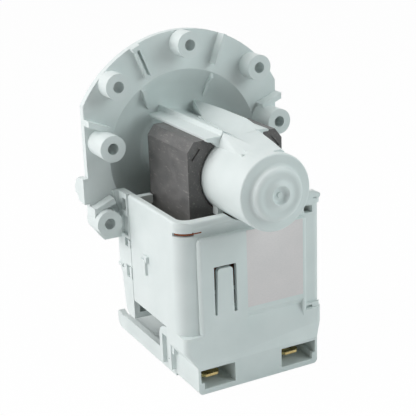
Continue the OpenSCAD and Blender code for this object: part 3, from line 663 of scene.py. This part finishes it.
def front_lug():
    """Hook on the flat of the flange, on the left."""
    side, top, foot = -flat_x, -4, -12.4
    hook = along_x((side - 1.7, side - 0.05), [
        (-plate_t, top), (1.5, top), (3.4, -5.2), (5, -7.4), (5, -10), (3.6, -10), (2.2, -12),
        (-plate_t, foot)])
    return union(hook, block((side - 1.6, side + bond), (-plate_t, 0), (foot, top)))


def housing_moulding():
    plate = cut(along_y((-plate_t, 0), flange_outline()), rod((0, 0), (-plate_t - 1, 1), well_r, 128))
    bosses = [rod((x, z), (-h, 0), boss_r) for x, z, h in boss_places()]
    body = union(plate, well_and_can(), rim_wall(), flange_ribs(), *bosses, *well_fins(),
                 skirt(), left_arm(), right_arm(), front_lug())
    holes = [rod((x, z), (-h - 1, 1), screw_r) for x, z, h in boss_places()]
    return finish_piece(cut(body, *holes), "housing_moulding", "pump_housing")


# Coil case

def case_plan(inset, rear, corner):
    """Case seen from above, drawn in by an inset."""
    side, right_corner = case_x - inset, max(corner - corner_change, least_corner)
    return ([(side, -case_front), (-side, -case_front)]
            + arc((-side + corner, rear + corner), corner, 180, 270)
            + arc((side - right_corner, rear + right_corner), right_corner, 270, 360))


def case_snap(heights):
    """Hooked tab on the right side, over a span of heights."""
    front = -case_front
    inside = case_x - skirt_t - snap_gap
    wedge = along_z(heights, [(inside - 0.5, front + 0.1), (case_x + 0.3, front + 0.1),
                              (case_x + 0.3, front + 1.6), (inside - 0.5, front + 4.4)])
    return union(wedge, block((inside - 0.8, inside), (front - 2, front + 4.4), heights),
                 block((inside - 0.8, case_x - 1), (front - 3.4, front - 1), heights))


def wire_clip():
    """Clip on the right of the rim, with a round nose."""
    left, right, nose = 18.6, 21.4, 23.2
    outline = [
        (left, case_top - 2), (right, case_top - 2), (right, case_top + 0.2), (nose, case_top + 0.2),
        (nose, case_top + 1.3), (21, case_top + 2.3), (19.4, case_top + 2.4), (left, case_top + 1.6)]
    span = (-case_back - 0.9, -case_back + 2.6)
    return union(along_y(span, outline), rod((nose - 0.1, case_top + 0.75), span, 0.9, 24))


def case_shell(rear, inner):
    """Open box with a rounded rim and a step inside the rim."""
    front = -case_front
    inner_corner = case_round - 1.4
    heights = (case_foot, case_top)
    rim = common(
        along_z((case_top - case_rim_h, case_top), case_plan(0, rear - 1, case_round)),
        along_x((-case_x, case_x), round_area((rear - 1, front + 2), heights, case_rim_edge)),
        along_y((rear - 1, front), round_area((-case_x, case_x), heights, case_rim_edge)))
    step_plan = case_plan(case_t + rim_step, inner + rim_step, case_round - 2)
    return cut(
        union(along_z((case_foot, case_top - case_rim_h + skin), case_plan(0, rear, case_round)), rim),
        along_z((case_foot + case_t, case_top - 2.6), case_plan(case_t, inner, inner_corner)),
        along_z((case_top - 3, case_top + 1), step_plan),
        along_z((case_top - 1, case_top + 1), case_plan(case_t, inner, inner_corner)),
        block((-case_x + case_t, case_x - case_t), (front - 1, 0), (case_foot + case_t, case_top + 1)))


def case_moulding():
    rear = -case_back
    inner = rear + case_t
    snap_tabs = [case_snap((z - h / 2, z + h / 2)) for z, h in snaps]
    ledges = block((core_x + 0.9, case_x - case_t + bond),
                   (-case_front - case_ledge_w, -case_front), case_ledge_z)
    catches = both_sides(
        block((case_x - 0.3, case_x + 0.8), catch_y, catch_z),
        along_z(catch_ramp_z, [(case_x - 0.3, -23.4), (case_x + 0.9, -23.4), (case_x + 0.6, -21.6),
                               (case_x - 0.3, -18.2)]))
    # What comes off: room for the can, hollow under the rim, slot of the tongue and both corner slits
    can_room = rod((0, 0), (rear - 2, inner + 2), can_root_r + 0.3, 96)
    cove = along_x((-panel_x - 1, panel_x + 1), arc((rear - 1.2, case_top - 3.6), 1.9, 0, 345, 23))
    slot = block((panel_span[0] - 0.6, panel_span[1] + 2.6), (rear - 1, inner + 1),
                 (slot_foot + 1, slot_top + 1.2))
    left_slit = block((-case_x - 1, -panel_x - 0.2), (rear - 2, rear + case_round - 1),
                      (slit_z - 0.5, slit_z + 0.6))
    right_slit = block((panel_x + 0.1, panel_x + 2.7), (rear - 2, inner + 1), (slit_z - 0.6, slit_z + 1.6))
    body = cut(union(case_shell(rear, inner), wire_clip(), *catches, *both_sides(ledges, *snap_tabs)),
               can_room, cove, slot, left_slit, right_slit)
    return finish_piece(body, "case_moulding", "coil_case")


def corner_lead():
    """Lead of the left coil, laid round the corner of the case behind its slit."""
    sides, bend_r, height = 8, case_round - lead_inset, slit_z + 0.05
    centre = (-case_x + case_round, -case_back + case_round)
    route = ([(centre[0] - bend_r, centre[1] + lead_start)] + arc(centre, bend_r, 180, 270, 10)
             + [(centre[0] + lead_end, centre[1] - bend_r)])
    points, faces = [], []
    for i, (x, y) in enumerate(route):
        before, after = route[max(i - 1, 0)], route[min(i + 1, len(route) - 1)]
        ahead = Vector((after[0] - before[0], after[1] - before[1], 0)).normalized()
        out, up = Vector((ahead.y, -ahead.x, 0)), Vector((0, 0, 1))
        for k in range(sides):
            a = 2 * math.pi * k / sides
            point = Vector((x, y, height)) + lead_r * (out * math.cos(a) + up * math.sin(a))
            points.append(tuple(point))
    for i in range(len(route) - 1):
        for k in range(sides):
            j = (k + 1) % sides
            faces.append((i * sides + k, i * sides + j, (i + 1) * sides + j, (i + 1) * sides + k))
    faces += [tuple(range(sides)), tuple(range(len(points) - sides, len(points)))]
    obj = solid(points, faces)
    obj.name = obj.data.name = "corner_lead"
    obj.data.transform(Matrix.Scale(MM, 4))
    obj.data.shade_smooth()
    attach(obj, "pump_body")


# Base: back plate with the snap tongue, plinth, terminal block, rails and latch uprights

def back_plate():
    """Plate with rounded corners and rounded edges."""
    edge, width = panel_t - 0.1, (-panel_x, panel_x)
    depth, height = (panel_y, -case_back + 2), (plinth_foot, panel_top)
    return common(
        along_y((panel_y, -case_back), round_area(width, height, panel_round)),
        along_x(width, round_area(depth, (plinth_foot - 2, panel_top), edge)),
        along_z(height, round_area(width, depth, edge)))


def tongue():
    """Tongue that hangs in the slot and widens toward its root."""
    top, r = slot_top - slot_w, 1
    left, right = tongue_x - tongue_w / 2, tongue_x + tongue_w / 2
    root_left = tongue_x + 0.05 - tongue_root_w / 2
    outline = ([(root_left, slot_foot - 1), (root_left + tongue_root_w - 0.4, slot_foot - 1)]
               + arc((right - r, top - r), r, 0, 90, 5) + arc((left + r, top - r), r, 90, 180, 5))
    return along_y((panel_y - 2, -case_back + 2), outline)


def rail():
    joint = -block_back + block_depth - bond
    foot_centre = (rail_front - rail_foot_round, base_foot + rail_foot_round)
    tip_centre = (rail_front - rail_tip_round, rail_top - 1)
    outline = ([(joint, base_foot)]
               + arc(foot_centre, rail_foot_round, -90, 0, 4) + arc(tip_centre, rail_tip_round, 0, 100, 4)
               + [(rail_front - 4.6, rail_top - 0.6), (rail_front - 6, rail_top), (joint, rail_top)])
    return along_x((block_x - rail_t, block_x), outline)


def latch_wall(front):
    """Upright beside the rail, with a window, a slot across it and a small post."""
    face, reach, inside = block_x + latch_proud, front + latch_depth, block_x - rail_t
    sill = base_foot + 2.4
    wall = along_x((inside, face), [
        (front - bond, sill), (reach, sill), (reach, plinth_foot - 0.8), (reach - 0.7, plinth_foot + 0.9),
        (reach - 2.3, plinth_foot + 2.1), (front - bond, plinth_foot + 4)])
    wall = cut(
        wall,
        block((block_x + 0.2, face + 1), (front + 2, reach - 2), (base_foot - 1, plinth_foot - 0.4)),
        block((block_x - 1, face + 1), (front + 0.8, front + 4), (plinth_foot - 7.7, plinth_foot - 6.3)))
    foot = block((inside, block_x), (front - bond, reach), (base_foot, base_foot + 3))
    post = block((block_x - bond, face - 0.3), (front - 1.9, front + 1.7),
                 (plinth_foot - 5, plinth_foot - 0.8))
    return union(wall, foot, post)


def socket(left, right, side):
    """Room of a terminal, with a keyway at its outer lower corner."""
    low, deep = socket_z - socket_h, -block_back + socket_depth
    key = (left - 1, left + key_w) if side < 0 else (right - key_w, right + 1)
    return cut(block((left, right), (-block_back - 1, deep), (low, socket_z + socket_h)),
               block(key, (-block_back - 2, deep + 1), (low - 1, low + key_h)))


def plinth(front, rear):
    """Foot of the case, its lip on the right, and the shelf down to the terminal block."""
    width, lip_top = (-plinth_x, plinth_x), case_foot + lip_h
    plan = round_area(width, (panel_y, front), plinth_round)
    lip = common(
        along_z((plinth_foot, lip_top), round_area(width, (rear, front), plinth_round)),
        block((0, case_x), (rear, -case_back), (plinth_foot, lip_top)))
    corners = area((-block_x, block_x), (-block_back, front))
    shelf = hull([(x, y, plinth_foot + d) for x, y in plan for d in (0, skin)],
                 [(x, y, block_top - d) for x, y in corners for d in (0, skin)])
    return [along_z((plinth_foot, case_foot), plan), lip, shelf]


def terminal_block(front):
    width, depth = (-block_x, block_x), (-block_back, front)
    return common(along_y(depth, round_area(width, (base_foot, block_top + 3), block_round)),
                  block(width, depth, (base_foot, block_top)))


def label_field():
    """Shallow bed of the label, and the wedge below it."""
    width, over = (label_low[0], label_high[0]), panel_y - 1
    wedge = along_x(width, [
        (over, panel_top - wedge_top), (panel_y, panel_top - wedge_top),
        (panel_y + wedge_d, panel_top - wedge_deep), (panel_y, panel_top - wedge_foot),
        (over, panel_top - wedge_foot)])
    return [wedge, block(width, (over, label_high[1]), (label_low[2], label_high[2]))]


def base_moulding():
    front, rear = -block_back + block_depth, -case_back - lip_t
    floor_foot = base_foot + base_floor_z
    floor_plate = block((-block_x + bond, block_x - bond), (front - bond, rail_front - 4),
                        (floor_foot, floor_foot + base_floor_t))
    body = union(back_plate(), *plinth(front, rear), terminal_block(front), floor_plate,
                 *both_sides(rail(), latch_wall(front)))
    # What comes off: slot round the tongue, label field, notch in the lip, hollow of the block, sockets
    slot = cut(along_y((panel_y - 1, -case_back + 1), area(panel_span, (slot_foot, slot_top))), tongue())
    notch = block(notch_x, (rear - 1, -case_back + 0.1), notch_z)
    hollow = block(hollow_x, (-block_back + hollow_wall, front - hollow_wall),
                   (base_foot - 1, block_top - hollow_wall))
    body = cut(body, slot, *label_field(), notch, hollow, *[socket(*place) for place in sockets])
    return finish_piece(body, "base_moulding", "terminal_base")


housing_moulding()
case_moulding()
base_moulding()
corner_lead()


# Node helpers; lengths in materials are in metres

# Radius by which the shading rounds every edge
soft_edge = 0.00009
# Length of one wave of the wave texture at scale 1
wave = math.pi / 10
# One sheet of the core, and the wire of the coils
sheet_t = 0.0005
enamelled_wire_d = 0.00025


def new_material(name):
    mat = bpy.data.materials.new(name)
    mat.use_nodes = True
    mat.node_tree.nodes.clear()
    out = mat.node_tree.nodes.new("ShaderNodeOutputMaterial")
    shader = mat.node_tree.nodes.new("ShaderNodeBsdfPrincipled")
    mat.node_tree.links.new(shader.outputs[0], out.inputs[0])
    return mat, mat.node_tree, shader


def add(tree, kind, **settings):
    """New node; each setting is one of its inputs or its properties."""
    node = tree.nodes.new(kind)
    for key, value in settings.items():
        if key in node.inputs:
            node.inputs[key].default_value = value
        else:
            setattr(node, key, value)
    return node


def join(tree, *pairs):
    for a, b in pairs:
        tree.links.new(a, b)


def linear(r, g, b):
    """Colour from its values of 0 to 255 as seen on a screen."""
    def one(c):
        c = c / 255
        return c / 12.92 if c <= 0.04045 else ((c + 0.055) / 1.055) ** 2.4
    return one(r), one(g), one(b), 1


def surface(name):
    """New material with its shader and the coordinates that patterns follow."""
    mat, tree, shader = new_material(name)
    return mat, tree, shader, add(tree, "ShaderNodeTexCoord").outputs["Object"]


def stretched(tree, where, scale):
    node = add(tree, "ShaderNodeMapping", Scale=scale)
    join(tree, (where, node.inputs["Vector"]))
    return node.outputs[0]


def stripes(tree, where, pitch, axis, wobble, detail, detail_scale):
    """Waves along one axis, one to each pitch."""
    node = add(tree, "ShaderNodeTexWave", bands_direction=axis, Scale=wave / pitch,
               Distortion=wobble, Detail=detail)
    node.inputs["Detail Scale"].default_value = detail_scale
    join(tree, (where, node.inputs["Vector"]))
    return node.outputs["Fac"]


def noise(tree, where, scale, detail=3, rough=0.5):
    node = add(tree, "ShaderNodeTexNoise", Scale=scale, Detail=detail, Roughness=rough)
    join(tree, (where, node.inputs["Vector"]))
    return node.outputs["Fac"]


def ramp(tree, value, low, high, out_low, out_high):
    node = add(tree, "ShaderNodeMapRange")
    node.inputs["From Min"].default_value = low
    node.inputs["From Max"].default_value = high
    node.inputs["To Min"].default_value = out_low
    node.inputs["To Max"].default_value = out_high
    join(tree, (value, node.inputs["Value"]))
    return node.outputs["Result"]


def blend_colours(tree, factor, first, second):
    """Mixes two colours, each given as values or as another node's output."""
    node = add(tree, "ShaderNodeMix", data_type="RGBA")
    for entry, value in ((node.inputs[6], first), (node.inputs[7], second)):
        if isinstance(value, tuple):
            entry.default_value = value
        else:
            join(tree, (value, entry))
    join(tree, (factor, node.inputs[0]))
    return node.outputs[2]


def bump(tree, shader, height, strength, distance):
    """Surface relief, over softly rounded edges."""
    rounded = add(tree, "ShaderNodeBevel", samples=4, Radius=soft_edge)
    node = add(tree, "ShaderNodeBump", Strength=strength, Distance=distance)
    join(tree, (height, node.inputs["Height"]), (rounded.outputs[0], node.inputs["Normal"]),
         (node.outputs[0], shader.inputs["Normal"]))


def plastic(name, colour, dark, rough=0.42):
    """Moulded thermoplastic: a faint cloudiness, a fine spark-eroded grain, uneven gloss."""
    mat, tree, shader, where = surface(name)
    cloud = noise(tree, where, 90, 4)
    grains = noise(tree, where, 2600, 2, 0.6)
    tint = ramp(tree, cloud, 0.3, 0.7, 0, 1)
    join(tree, (blend_colours(tree, tint, colour, dark), shader.inputs["Base Color"]),
         (ramp(tree, cloud, 0.3, 0.7, rough - 0.05, rough + 0.06), shader.inputs["Roughness"]))
    bump(tree, shader, grains, 0.16, 0.00006)
    shader.inputs["IOR"].default_value = 1.49
    shader.inputs["Specular IOR Level"].default_value = 0.5
    return mat


def rubber(name, colour, rough=0.7):
    """Matt black or grey material with paler clouds."""
    mat, tree, shader, where = surface(name)
    cloud = noise(tree, where, 260, 4)
    grains = noise(tree, where, 3200, 2)
    light = tuple(min(1, c * 1.5 + 0.01) for c in colour[:3]) + (1,)
    join(tree, (blend_colours(tree, cloud, colour, light), shader.inputs["Base Color"]),
         (ramp(tree, cloud, 0.3, 0.7, rough - 0.08, rough + 0.08), shader.inputs["Roughness"]))
    bump(tree, shader, grains, 0.25, 0.00008)
    return mat


def metal(name, colour, rough, streaks=(1, 1, 1), tarnish=None):
    """Drawn or ground metal with fine streaks along one direction."""
    mat, tree, shader, where = surface(name)
    fine = noise(tree, stretched(tree, where, streaks), 900, 3)
    patches = noise(tree, where, 330, 4)
    dull = tarnish or tuple(c * 0.62 for c in colour[:3]) + (1,)
    stained = ramp(tree, patches, 0.42, 0.72, 0, 0.8)
    join(tree, (blend_colours(tree, stained, colour, dull), shader.inputs["Base Color"]),
         (ramp(tree, fine, 0.3, 0.7, rough - 0.08, rough + 0.1), shader.inputs["Roughness"]))
    bump(tree, shader, fine, 0.12, 0.00004)
    shader.inputs["Metallic"].default_value = 1
    return mat


def laminated_steel():
    """Stack of thin sheets: fine lines on the sides, dark lacquer with worn grey patches."""
    mat, tree, shader, where = surface("laminated_steel")
    sheets = stripes(tree, where, sheet_t, "Y", 0.25, 1, 60)
    patches = noise(tree, where, 240, 5, 0.62)
    fine = noise(tree, stretched(tree, where, (1, 0.25, 1)), 1700, 3)
    worn = ramp(tree, patches, 0.35, 0.68, 0, 1)
    grey = blend_colours(tree, worn, linear(102, 101, 101), linear(122, 120, 119))
    gaps = ramp(tree, sheets, 0.45, 0, 0, 0.7)
    lined = blend_colours(tree, gaps, grey, linear(66, 65, 65))
    scratches = ramp(tree, fine, 0.6, 0.8, 0, 0.5)
    scratched = blend_colours(tree, scratches, lined, linear(178, 172, 166))
    join(tree, (scratched, shader.inputs["Base Color"]),
         (ramp(tree, patches, 0.3, 0.7, 0.34, 0.56), shader.inputs["Roughness"]))
    bump(tree, shader, fine, 0.22, 0.00006)
    shader.inputs["Metallic"].default_value = 0.3
    return mat


def label_film():
    """Bare label: paper with a faint upright weave and a few duller clouds."""
    mat, tree, shader, where = surface("label_film")
    cloud = noise(tree, where, 130, 3)
    weave = noise(tree, stretched(tree, where, (1, 1, 3.5)), 1500, 4)
    fibres = ramp(tree, weave, 0.3, 0.7, 0, 1)
    paper = blend_colours(tree, fibres, linear(233, 226, 226), linear(226, 220, 220))
    dullness = ramp(tree, cloud, 0.35, 0.75, 0, 0.4)
    dulled = blend_colours(tree, dullness, paper, linear(219, 215, 215))
    join(tree, (dulled, shader.inputs["Base Color"]),
         (ramp(tree, cloud, 0.3, 0.7, 0.5, 0.62), shader.inputs["Roughness"]))
    bump(tree, shader, weave, 0.1, 0.00003)
    return mat


def wire_turns(name, axis):
    """Enamelled copper wire, laid turn by turn."""
    mat, tree, shader, where = surface(name)
    turns = stripes(tree, where, enamelled_wire_d, axis, 0.6, 2, 30)
    cloud = noise(tree, where, 300, 3)
    copper = blend_colours(tree, cloud, linear(170, 92, 48), linear(126, 62, 34))
    between = ramp(tree, turns, 0.3, 0, 0, 0.8)
    shaded = blend_colours(tree, between, copper, linear(60, 26, 14))
    join(tree, (shaded, shader.inputs["Base Color"]))
    bump(tree, shader, turns, 0.8, 0.00012)
    shader.inputs["Metallic"].default_value = 0.75
    shader.inputs["Roughness"].default_value = 0.32
    shader.inputs["Coat Weight"].default_value = 0.4
    return mat


white = plastic("housing_plastic", linear(228, 235, 234), linear(221, 229, 228))
case_white = plastic("case_plastic", linear(226, 233, 232), linear(219, 227, 226))
ivory = plastic("bobbin_plastic", linear(226, 226, 218), linear(216, 216, 206))
pale = plastic("impeller_plastic", linear(226, 229, 226), linear(218, 221, 218))
black = plastic("black_plastic", linear(44, 44, 45), linear(34, 34, 35), 0.5)
black_rubber = rubber("black_rubber", linear(38, 38, 39))
grey_rubber = rubber("cap_rubber", linear(88, 90, 92))
carbon = metal("carbon_bush", linear(70, 70, 72), 0.5)
steel = metal("shaft_steel", linear(200, 202, 205), 0.26, (1, 6, 1))
ferrite = rubber("ferrite", linear(58, 58, 62), 0.6)
brass = metal("terminal_brass", linear(200, 184, 132), 0.3, (6, 1, 1), linear(152, 134, 88))
core = laminated_steel()
film = label_film()
copper = wire_turns("copper_turns", "Z")
loose_copper = wire_turns("copper_lead", "X")

finishes = {
    "housing_plastic": white, "case_plastic": case_white, "bobbin_plastic": ivory,
    "impeller_plastic": pale, "black_plastic": black, "core_steel": core,
    "copper_wire": copper, "label": film, "terminal_brass": brass,
    "black_rubber": black_rubber, "cap_rubber": grey_rubber, "carbon_bush": carbon,
    "shaft_steel": steel, "ferrite": ferrite,
}
# The mouldings have the finish of the nodes that they stand for, and the lead that of loose wire
own_pieces = {
    "housing_moulding": white, "case_moulding": case_white, "base_moulding": case_white,
    "corner_lead": loose_copper,
}


def paint(obj, finish):
    obj.data.materials.clear()
    obj.data.materials.append(finish)


for subpart in frame["record"]["subparts"]:
    finish = loose_copper if subpart["node"] == "link_wire" else finishes[subpart["material_slot"]]
    paint(frame["nodes"][subpart["node"]], finish)
for name, finish in own_pieces.items():
    paint(bpy.data.objects[name], finish)


# Floor, light and background

floor_size = 6
# How much of a ray that sees the floor gets plain white; the rest shows the shadow
white_share = 0.98
lit_point = Vector((0, -0.02, -0.01))


def shows_background(tree):
    """1 for the rays that see the white background: those of the camera, reflections and glass."""
    rays = add(tree, "ShaderNodeLightPath").outputs
    total = add(tree, "ShaderNodeMath", operation="ADD")
    every = add(tree, "ShaderNodeMath", operation="ADD", use_clamp=True)
    join(tree, (rays["Is Camera Ray"], total.inputs[0]), (rays["Is Glossy Ray"], total.inputs[1]),
         (total.outputs[0], every.inputs[0]), (rays["Is Transmission Ray"], every.inputs[1]))
    return every.outputs[0]


def floor():
    bpy.ops.mesh.primitive_plane_add(size=floor_size, location=(0, 0, cad_box[0].z))
    obj = bpy.context.object
    obj.name = "floor"
    mat, tree, shader = new_material("floor")
    shader.inputs["Base Color"].default_value = linear(236, 238, 238)
    shader.inputs["Roughness"].default_value = 0.9
    glow = add(tree, "ShaderNodeEmission", Color=(1, 1, 1, 1), Strength=1.0)
    mix = add(tree, "ShaderNodeMixShader")
    share = add(tree, "ShaderNodeMath", operation="MULTIPLY")
    share.inputs[1].default_value = white_share
    join(tree, (shows_background(tree), share.inputs[0]), (share.outputs[0], mix.inputs[0]),
         (shader.outputs[0], mix.inputs[1]), (glow.outputs[0], mix.inputs[2]),
         (mix.outputs[0], tree.nodes["Material Output"].inputs[0]))
    obj.data.materials.append(mat)


def world():
    made = bpy.data.worlds.new("studio")
    scene.world = made
    made.use_nodes = True
    tree = made.node_tree
    tree.nodes.clear()
    fill = add(tree, "ShaderNodeBackground", Color=(1, 1, 1, 1), Strength=0.03)
    white_wall = add(tree, "ShaderNodeBackground", Color=(1, 1, 1, 1), Strength=1.0)
    mix = add(tree, "ShaderNodeMixShader")
    out = add(tree, "ShaderNodeOutputWorld")
    join(tree, (shows_background(tree), mix.inputs[0]),
         (fill.outputs[0], mix.inputs[1]), (white_wall.outputs[0], mix.inputs[2]),
         (mix.outputs[0], out.inputs[0]))


def softbox(name, place, size, power, tint=(1, 1, 1)):
    """Area lamp that faces the object and isn't seen itself."""
    data = bpy.data.lights.new(name, "AREA")
    data.shape = "RECTANGLE"
    data.size, data.size_y = size
    data.energy = power
    data.color = tint
    obj = bpy.data.objects.new(name, data)
    scene.collection.objects.link(obj)
    obj.location = place
    obj.rotation_euler = (lit_point - Vector(place)).to_track_quat("-Z", "Y").to_euler()
    obj.visible_camera = False


floor()
world()
softbox("key", (-0.65, 0.14, 0.33), (0.75, 0.6), 4.9)
softbox("overhead", (0, 0.045, 0.74), (0.42, 0.42), 2.1)
softbox("fill", (0.48, -0.5, 0.31), (0.6, 0.5), 2.65, (0.9, 1, 1))

scene.view_settings.view_transform = "Standard"
